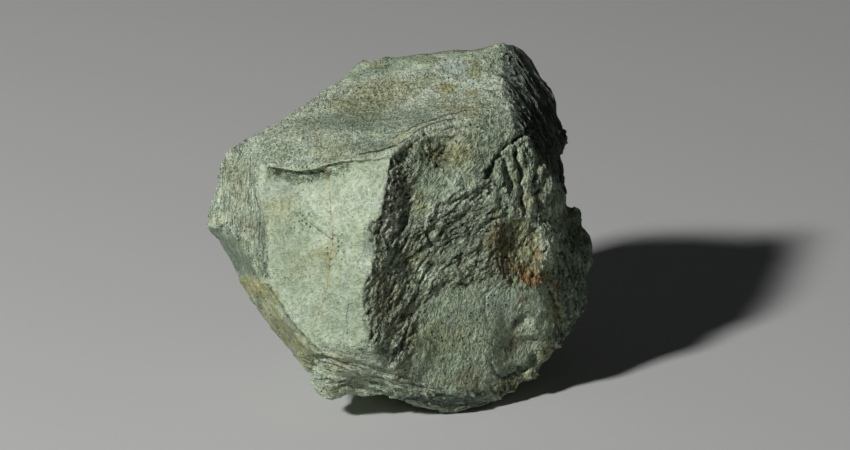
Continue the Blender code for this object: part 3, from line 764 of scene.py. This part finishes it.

# Each region's two colours, the size in mm of its mottling, and how coarse its grain is. The cheek's
# near-black colours are painted shade, for a face turned away from the lamp.
TONES = [("top", WHITE, PALE, 9, 1.9), ("rind", PALE, SAGE, 4, 2.5),
         ("facet", DULL, SLATE, 4, 1.2), ("cheek", COAL, SOOT, 5, 2.0), ("bay", PALE, UMBER, 4, 3.0),
         ("shoulder", PALE, SAGE, 6, 2.2), ("fingers", PALE, GREEN_GREY, 5, 2.4),
         ("pit", SAGE, OLIVE, 4, 2.4), ("breast", PALE, SAGE, 6, 1.8), ("foot", WHITE, PALE, 5, 1.8),
         ("pale", WHITE, PALE, 6, 1.1), ("band", UMBER, OLIVE, 5, 1.4),
         ("under_lip", PALE, SAGE, 4, 3.0)]

# Stains and bleached spots, and a few patches of painted light and shade: colour, strength, middle across
# and up, reach across and up, in mm.
STAINS = [
    (BLUE_WHITE, 0.7, -37, 12, 6, 3), (OCHRE, 0.4, -39, 3, 5, 9), (OCHRE, 0.35, -33, -10, 6, 7),
    (DULL, 0.6, -31.5, 4.5, 2, 1.5), (DULL, 0.5, -34, -1, 1.6, 1.6), (WHITE, 0.6, -33, -24, 6, 4),
    (SLATE, 0.7, -9, -3.5, 3.5, 5), (WHITE, 0.6, -14, 9, 9, 9), (DULL, 0.4, -24, -9, 3, 4),
    (GREEN_GREY, 0.6, -35, -6, 9, 20), (GREEN_GREY, 0.5, -20, -24, 14, 12),
    (OCHRE, 0.5, -23, -7.5, 4, 2.5), (OLIVE, 0.6, -51, 18, 5, 6), (OCHRE, 0.4, -50, 10, 3, 7),
    (OCHRE, 0.7, -44, -17.5, 4, 3), (CREAM, 0.4, -41, -24, 2.2, 5), (OLIVE, 0.45, -38.8, -20.5, 2.6, 4),
    (BROWN, 0.35, -47, 1, 4, 5), (WHITE, 0.5, -48, 23, 6, 3), (SLATE, 0.55, -43, 2, 2, 12),
    (CREAM, 0.6, -56, 2.6, 4, 2.4), (CHALK, 0.32, 0, 44, 42, 13), (CHALK, 0.25, -50, 13, 10, 17),
    (SLATE, 0.35, -51.5, -5, 4.5, 5), (BLUE_WHITE, 0.7, 18, 50, 7, 3.5),
    # (CHALK, 0.9, 29, 45.8, ...) is a painted highlight on the top's right corner, which faces the lamp.
    (CHALK, 0.9, 29, 45.8, 3.4, 2.2), (OCHRE, 0.6, -5, 43.5, 13, 5), (OCHRE, 0.9, 14.3, 44, 3.6, 2.4),
    (BROWN, 0.6, 18, 47.4, 1.6, 1.4), (OLIVE, 0.9, 23.3, 49.8, 2.8, 4.4),
    (OLIVE, 0.75, 20.8, 55, 2.4, 2.4), (OLIVE, 0.6, 8, 47, 5, 2.5), (OCHRE, 0.5, 15.5, 38.8, 4, 3),
    (OCHRE, 0.9, 22.9, 42.5, 2.4, 2), (OCHRE, 0.6, 21.7, 36.8, 5, 3), (OCHRE, 0.4, -20, 24, 7, 3),
    # (DULL, 0.6, -15, 33.5, ...) darkens a band across the top scar where it dips: painted shade.
    (BLUE_WHITE, 0.6, -10, 50, 9, 3), (DULL, 0.6, -15, 33.5, 17, 3.5), (DULL, 0.4, 8, 35, 10, 4),
    # (DULL, 0.6, -9, 26, ...) darkens the strip of the top just behind the crest: painted shade.
    (DULL, 0.6, -9, 26, 9, 2.2), (OLIVE, 0.7, -12, 38.5, 13, 4), (OCHRE, 0.35, -36, 8, 5, 7),
    (OLIVE, 0.3, -24, -10, 10, 8), (CREAM, 0.8, 6, 29.5, 8, 1.8), (CREAM, 0.7, 20, 31, 5, 1.5),
    (CREAM, 0.8, 15, 29.6, 5, 1.5), (OCHRE, 0.6, 1, 26.4, 5, 2), (OLIVE, 0.7, 14.6, 23.5, 9, 4.5),
    (BROWN, 0.35, 13.6, 22.5, 6, 3), (OCHRE, 0.4, 19, 25, 7, 6), (WHITE, 0.4, 17, 14.9, 8, 4),
    (OCHRE, 0.45, 6.2, 7.8, 3.5, 5), (SLATE, 0.5, 27, 19, 5, 7), (SLATE, 0.5, 30, 12, 5, 4),
    (OCHRE, 0.5, 4, -8, 4, 5), (BROWN, 0.35, -4, -22, 6, 9), (BROWN, 0.2, -4, 6, 3, 10),
    # (CHALK, 0.6, -2.6, 8, ...) lightens the wall beside the sharp edge, which faces away from the lamp:
    # painted light.
    (SLATE, 0.6, 18, 2, 9, 4), (SLATE, 0.35, 18, -5, 10, 8), (CHALK, 0.6, -2.6, 8, 3.6, 13),
    (CREAM, 0.3, 20, -10, 4, 6), (BROWN, 0.3, 3, -33, 3, 6), (OLIVE, 0.6, 37, -3, 5, 7),
    (OCHRE, 0.4, 37, -6, 4, 6), (CREAM, 0.35, 37.4, -2, 4, 5), (BROWN, 0.66, 30.4, -4, 4.6, 9),
    (BROWN, 0.75, 33.4, -11, 3.4, 4), (OCHRE, 0.9, 38, -12, 5, 3.5), (RUST, 1.0, 41, -14.8, 4.8, 3),
    (RUST, 0.5, 37.4, -12.6, 3, 2.2), (OCHRE, 0.6, 42, -5, 3, 6), (RUST, 0.5, 43, -7.5, 2.4, 3.5),
    (WHITE, 1.0, 46.3, -4, 3.2, 9), (RUST, 0.5, 37.8, -21, 1.6, 2.4), (RUST, 0.5, 48, -17, 2, 2),
    (OCHRE, 0.5, 48, -24, 3, 8), (WHITE, 0.35, 41, 9, 7, 6), (CREAM, 0.8, 40.3, 9.3, 3.5, 3.5),
    (OCHRE, 0.5, 39.6, 8, 3, 3.5), (BROWN, 0.5, 44.5, 20, 2.4, 4.5), (OLIVE, 0.4, 36, 18, 3, 5),
    (OLIVE, 0.45, 11, -34, 11, 7), (BLUE_WHITE, 0.45, 31, -22, 6, 5), (BROWN, 0.45, 35.6, -35, 4, 5),
    (OCHRE, 0.6, 33, -48, 5, 3), (OLIVE, 0.8, 40.3, -45.6, 3.5, 3), (OCHRE, 0.5, 45, -38.5, 4, 5),
    (OCHRE, 0.6, -18, -42.8, 7, 1.4), (CREAM, 0.7, -17, -39.7, 7, 1.5), (SLATE, 0.3, -6, -38, 7, 2),
    (BROWN, 0.4, 21.7, -46.5, 7, 4), (CREAM, 0.5, -22, -50, 8, 3), (SLATE, 1.0, 13, -53, 17, 3.4),
    (COAL, 0.5, 10, -53.6, 18, 3.2), (WHITE, 0.7, -4, -42, 8, 4), (SLATE, 0.5, -3, -50, 7, 2),
    (SLATE, 0.5, 30, -51, 8, 3), (GREEN_GREY, 0.6, 38, -40, 4, 3),
]

# Places with many fine dark pits: middle across and up, reach across and up, in mm.
PEPPERED = [(-20, -7, 4, 8), (-31, 3, 7, 5), (-6, 44, 16, 7), (18, 43, 12, 9), (14.6, 23.5, 10, 6),
            (12, -34, 11, 7), (29, -13, 7, 5), (-50, 16, 5, 9), (20, -46, 9, 4)]

# Healed cracks and worn edges, and lines of painted highlight and shade along the crest and brow: colour,
# strength, half width in mm and course.
VEINS = [
    # The bright line along the crest is partly a pale band and partly painted highlight on the ridge.
    (WHITE, 0.95, 0.7, [(-8, 22.6), (-5, 23.4), (0, 25.2), (4.4, 28.8), (7.4, 31.1), (12.2, 32.6),
                        (17.1, 33.4)]),
    (CREAM, 0.8, 0.4, [(0, 28.4), (6, 31.8), (12, 34.2), (18.6, 36)]),
    (CHALK, 0.7, 0.4, [(8.6, 29.6), (12, 29.4), (15.6, 30), (20.4, 31)]),
    (DARK, 0.65, 0.16, [(-26.6, -46.2), (-23, -45.9), (-19.5, -47.1), (-16.4, -46.5), (-14.6, -45.3)]),
    (DARK, 0.65, 0.16, [(-23, -49.6), (-20.5, -49.2), (-18.3, -48.4), (-15.5, -47.1), (-14.3, -45.6)]),
    (DARK, 0.6, 0.16, [(-26, -40), (-21.7, -41.5), (-17.4, -42.8), (-14.6, -44), (-12, -45)]),
    # The two dark lines behind the crest are partly fine cracks and partly painted shade beside the ridge.
    (DARK, 0.85, 0.22, [(-13, 23.4), (-6, 24.6), (0, 26.8), (5, 30.4), (10, 33), (16, 34.6)]),
    (DARK, 0.75, 0.18, [(-2, 28.4), (5, 32.4), (12, 35), (20, 37)]),
    # The wide pale band below the brow lightens the strip that the shoulder shades: painted light.
    (WHITE, 0.8, 2.2, [(10, 4), (13, 7), (20, 9.6), (27, 12)]),
    (CREAM, 0.8, 0.5, [(-24, -37.2), (-20, -38.9), (-15.8, -41)]),
    (CREAM, 0.7, 0.4, [(-23, -43.4), (-17, -44.8), (-13.5, -45.8)]),
    (WHITE, 0.8, 0.5, [(-8, -46.4), (-2, -47.8), (5, -49.4)]),
    (WHITE, 0.7, 0.4, [(2, -53.2), (9, -55.2), (15, -56)]),
    (DARK, 0.7, 0.2, [(-9, -45.4), (-2, -46.6), (5, -48.2), (12, -49.6)]),
    (DARK, 0.7, 0.18, [(-24, -39), (-18, -40.8), (-13, -42.6), (-6, -43.6), (2, -46)]),
    (DARK, 0.6, 0.18, [(-2, -51.4), (6, -53.4), (14, -54.6), (22, -54)]),
    (RUST, 0.8, 0.12, [(-32, 38.5), (-27.9, 34.1), (-26, 30.1), (-24.2, 24.8), (-22.9, 20.2),
                        (-21.9, 14), (-21.4, 4.5), (-20.9, -4), (-22, -12.4), (-23, -20),
                        (-25, -25.5), (-27.2, -31)]),
    (DARK, 0.6, 0.12, [(-16.1, -23), (-16.6, -27), (-16.4, -32)]),
    (DARK, 0.55, 0.2, [(-29.8, 3.4), (-25.5, 0.4), (-21, -3)]),
    (DARK, 0.4, 0.12, [(-34.4, 10), (-34.2, 4.6)]),
    (DARK, 0.5, 0.12, [(-23.9, 40), (-20, 40.2), (-15, 44)]),
    (DARK, 0.5, 0.14, [(3, 43), (6.5, 44.5), (11.5, 46)]),
    (DARK, 0.45, 0.12, [(-11.5, 2), (-10.8, -5), (-13.5, -12)]),
    (DARK, 0.75, 0.16, [(24.6, 43.9), (28.2, 43.3), (31.4, 43.2)]),
    (DARK, 0.5, 0.22, [(-41.5, -16.4), (-38.4, -20.8), (-33.9, -27.9), (-29.3, -33.5), (-24.2, -37.8)]),
    (DARK, 0.6, 0.14, [(-46.2, 24), (-46.6, 17), (-45, 11), (-43.2, 5), (-42.6, -3), (-42, -12)]),
    (DARK, 0.45, 0.1, [(-49.6, 24), (-50, 16), (-48.4, 9), (-48.8, 2)]),
    (DARK, 0.45, 0.1, [(-47.8, 22), (-47.6, 14), (-46.2, 6), (-45.4, -2), (-44, -10)]),
]

# Washes of colour: colour, strength, size in mm, the noise it starts and is full at, and its shift.
DEEP_WASHES = [(OCHRE, 0.7, 9, 0.5, 0.68, (40.0, 0.0, 0.0)), (WHITE, 0.6, 12, 0.54, 0.64, (0.0, 40.0, 0.0))]
THIN_WASHES = [(OCHRE, 0.3, 5, 0.54, 0.68, (0.0, 0.0, 30.0)),
               (BLUE_WHITE, 0.5, 5, 0.52, 0.68, (0.0, 0.0, 60.0))]

# The fine grain, combed along a direction: regions, direction, length and width in mm.
COMBED_RIGHT = ((0.45, -0.87, 0.2), 8, 0.9)
COMBED = [
    (("bay", "shoulder"), (0.6, 0.7, -0.25), 2.6, 0.9),
    (("rind",), (0.08, 0.99, 0), 12, 0.7),
    (("fingers", "pit"), (0.1, 0.98, 0), 6, 0.8),
    (("breast",), (0.1, 0.98, 0), 1.8, 0.9),
    (("under_lip", "foot"), (0.95, -0.25, 0), 9, 0.7),
    (("top",), (0.3, 0.3, -0.9), 2.2, 0.8),
    (("pale",), (0.97, -0.08, -0.1), 1.7, 0.9),
]
COARSE_BACK, COARSE_RIGHT = 1.4, 0.6           # how coarse it is behind, and how much more at the right

STAIN_WANDER, VEIN_WANDER, GRAIN_WANDER = 3.6, 1.6, 3.0   # mm
HOLE_SPACING, PORE_SIZE, PIT_SIZE = 1.1, 0.4, 0.55        # mm
PORE_SHARE, PIT_SHARE = 0.5, 0.85              # of the places for a hole that have one
PORE_TINT, PIT_TINT, GROOVE_TINT = 0.75, 0.8, 0.55
# Painted shade in the hollows: its strength, how much less of it lies on the foot, and its share in wide
# hollows.
PAINTED_HOLLOW_SHADE, FOOT_LESS_SHADE, WIDE_SHADE_SHARE = 0.7, 0.4, 0.55
FINE_HOLLOW, WIDE_HOLLOW = (0.04, 0.4), (0.2, 1.8)        # mm deep, where the painted shade starts and is full
WEAR_AND_HIGHLIGHT_EDGE = (0.05, 0.3)                        # mm proud, where the wear and painted highlight start and are full
SPECKLE_TINT, STREAK_TINT, DARKEST_GRAIN = 0.45, 0.8, 0.25
SPECKLE_RISE, LUMP_RISE, STREAK_RISE = 0.15, 0.4, 0.7     # mm
PORE_DEPTH, PIT_DEPTH, GROOVE_DEPTH = 0.25, 0.3, 0.22     # mm
ROUGHNESS, ROUGHNESS_SPREAD, SPECULAR = 0.72, 0.2, 0.35

place = stored("place", "Vector")
seen = stored("seen", "Vector")
front = stored("front")
right_side = stored("right_side")
ragged = cloud(place, 4, 4, "Color") - (0.5, 0.5, 0.5, 1)
edge = cloud(place, 5, 4) - 0.5

colour = blend(cloud(place, 7, 4).step(0.35, 0.65), GREEN_GREY, SAGE)
for tint, strength, size, low, high, shift in DEEP_WASHES:
    colour = colour.tinted(tint, cloud(place + shift, size, 4).step(low, high, strength))
# Faces turned to the right are darkened towards slate: painted shade, for faces turned away from the lamp.
colour = colour.tinted(SLATE, right_side * 0.85)
shares = {}
coarse = right_side * COARSE_RIGHT + COARSE_BACK
for name, light, dark, size, grit in TONES:
    shares[name] = (stored(name) + edge * 5).step(-0.6, 0.6) * front
    mottled = blend(cloud(place + (size * 9.0, 0.0, 0.0), size, 4).step(0.36, 0.62), light, dark)
    colour = colour.tinted(mottled, shares[name])
    coarse = coarse + (grit - coarse) * shares[name]
lit_side = 1 - right_side.most(shares["cheek"])
for tint, strength, size, low, high, shift in THIN_WASHES:
    colour = colour.tinted(tint, cloud(place + shift, size, 4).step(low, high, strength) * lit_side)

around_stain = seen + ragged.scaled(STAIN_WANDER)


def out_from(across, up, wide, tall):
    """How far out a point lies in an oval place on the front, 1 at the place's edge."""
    return Shade.node("VectorMath", {"operation": "MULTIPLY_ADD"},
                      {0: around_stain, 1: (1 / wide, 1 / tall, 1.0),
                       2: (-across / wide, -up / tall, 0.0)}).length()


spread = (cloud(place, 1.3, 3).step(0.34, 0.58) * 0.35 + 0.7) * front
for tint, strength, *oval in STAINS:
    colour = colour.tinted(tint, out_from(*oval).step(1.25, 0.4, strength) * spread)

pores = dots(place, HOLE_SPACING, PORE_SIZE, PORE_SHARE)
pores = pores * cloud(place + (20.0, 0.0, 0.0), 7, 3).step(0.46, 0.58) * (1 - shares["pale"] * 0.45)
peppered = cloud(place + (0.0, 20.0, 0.0), 9, 2).step(0.5, 0.6) * (1 - shares["pale"])
for oval in PEPPERED:
    peppered = peppered.most(out_from(*oval).step(1.0, 0.5) * front)
pits = dots(place, HOLE_SPACING, PIT_SIZE, PIT_SHARE) * peppered
colour = colour.tinted(DARK, (pores * PORE_TINT).most(pits * PIT_TINT))

wandering = seen + ragged.scaled(VEIN_WANDER)
swelling = cloud(place, 3) * 1.5 + 1.0
for tint, strength, width, line in VEINS:
    vein = (swelling * width - line_gap(wandering, line)).step(0, width, strength)
    colour = colour.tinted(tint, vein * front)

# The hollows are darkened, as painted shade, and edges that stand proud are lightened, partly as wear and
# partly as painted highlight.
fine_dent = stored("fine_dent")
shade_in_hollows = PAINTED_HOLLOW_SHADE - shares["foot"] * FOOT_LESS_SHADE
colour = colour.tinted(DARK, (fine_dent * -1).step(*FINE_HOLLOW) * shade_in_hollows)
colour = colour.tinted(DARK, (stored("wide_dent") * -1).step(*WIDE_HOLLOW) * shade_in_hollows * WIDE_SHADE_SHARE)
# Proud edges are lightened: partly wear, partly painted highlight, weaker on faces turned away from the
# lamp.
wear_and_highlight = 0.5 - shares["pale"] * 0.35 - right_side * 0.4
colour = colour.tinted(WHITE, fine_dent.step(*WEAR_AND_HIGHLIGHT_EDGE) * wear_and_highlight)

bent = place + ragged.scaled(GRAIN_WANDER)


def combed(along, length, width):
    """Noise about a half in streaks drawn out along a direction, of a length and width in mm."""
    along = Vector(along).normalized()
    aside = along.orthogonal().normalized()
    spot = Shade.node("CombineXYZ", {}, {"X": bent.dot(tuple(along / length)),
                                         "Y": bent.dot(tuple(aside / width)),
                                         "Z": bent.dot(tuple(along.cross(aside) / width))})
    return cloud(spot, 1.0, 1.5)


speckle = cloud(place, 0.7, 2)
streaks = combed(*COMBED_RIGHT)
for names, along, length, width in COMBED:
    comb = combed(along, length, width)
    for name in names:
        streaks = streaks + (comb - streaks) * shares[name]
grooves = 1 - Shade.node("Math", {"operation": "PINGPONG"}, {0: streaks * 5, 1: 0.5}).step(0.02, 0.3)
grooves = grooves * cloud(place, 3, 2).step(0.38, 0.56) * (coarse * 0.45).least(1.0)
colour = colour.tinted(DARK, grooves * GROOVE_TINT)
grain = (1 + ((speckle - 0.5) * SPECKLE_TINT + (streaks - 0.5) * STREAK_TINT) * coarse).most(DARKEST_GRAIN)
colour = colour * Shade.node("CombineColor", {}, {"Red": grain, "Green": grain, "Blue": grain})

lumps = cloud(place, 2.0, 3) - 0.5
height = ((speckle - 0.5) * SPECKLE_RISE + lumps * LUMP_RISE + (streaks - 0.5) * STREAK_RISE) * coarse
height = height - pores * PORE_DEPTH - pits * PIT_DEPTH - grooves * GROOVE_DEPTH
bump = Shade.node("Bump", {}, {"Height": height, "Distance": MM, "Strength": 1.0})

surface = chalk.node_tree.nodes["Principled BSDF"]
surface.inputs["Specular IOR Level"].default_value = SPECULAR
for socket, value in (("Base Color", colour), ("Roughness", ROUGHNESS + speckle * ROUGHNESS_SPREAD),
                      ("Normal", bump)):
    chalk.node_tree.links.new(value.socket, surface.inputs[socket])

stone.data.materials.clear()
stone.data.materials.append(chalk)

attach(stone, "root")
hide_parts("flint_nodule")
